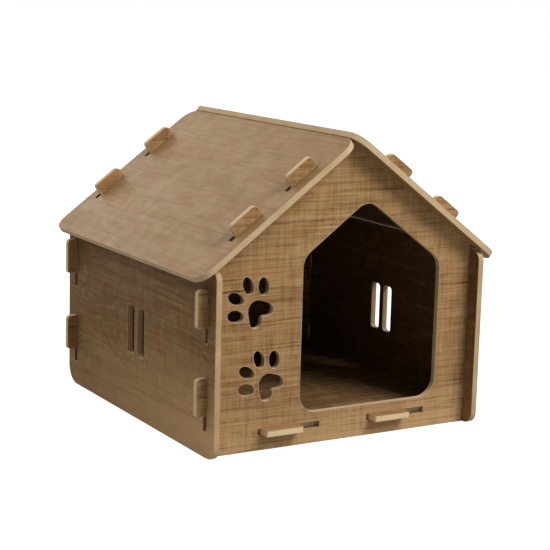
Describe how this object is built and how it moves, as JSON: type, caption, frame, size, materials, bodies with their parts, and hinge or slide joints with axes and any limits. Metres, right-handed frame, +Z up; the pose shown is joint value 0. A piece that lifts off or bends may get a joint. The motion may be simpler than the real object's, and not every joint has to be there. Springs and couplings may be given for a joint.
{
  "type": "cat house",
  "caption": "Flat-pack cat house: hooked gables, walls with window slots, pitched roof boards, raised floor, pentagonal doorway and paw-shaped cut-outs.",
  "frame": {"origin": "on the ground under the middle of the house", "axes": "+X to the right seen from the front, +Y from the front gable to the back one, +Z up"},
  "size_m": [0.5048, 0.5, 0.4457],
  "materials": {
    "gable_board": "printed sawn-oak face, raw pale edges, satin",
    "wall_board": "printed oak face, raw pale edges, satin",
    "floor_board": "printed oak face, raw pale edges, satin",
    "roof_board": "printed weathered-oak face, raw pale edges, satin"
  },
  "bodies": {
    "house": {"front_panel": "gable_board", "back_panel": "gable_board", "left_side_panel": "wall_board", "right_side_panel": "wall_board", "floor_panel": "floor_board", "left_roof_panel": "roof_board"},
    "right_roof": {"right_roof_panel": "roof_board"}
  },
  "joints": [
    {"name": "right_roof_slide", "type": "slide", "parent": "house", "child": "right_roof", "axis": [-0.8033, 0, 0.5955], "range_m": [0, 0.01]}
  ]
}
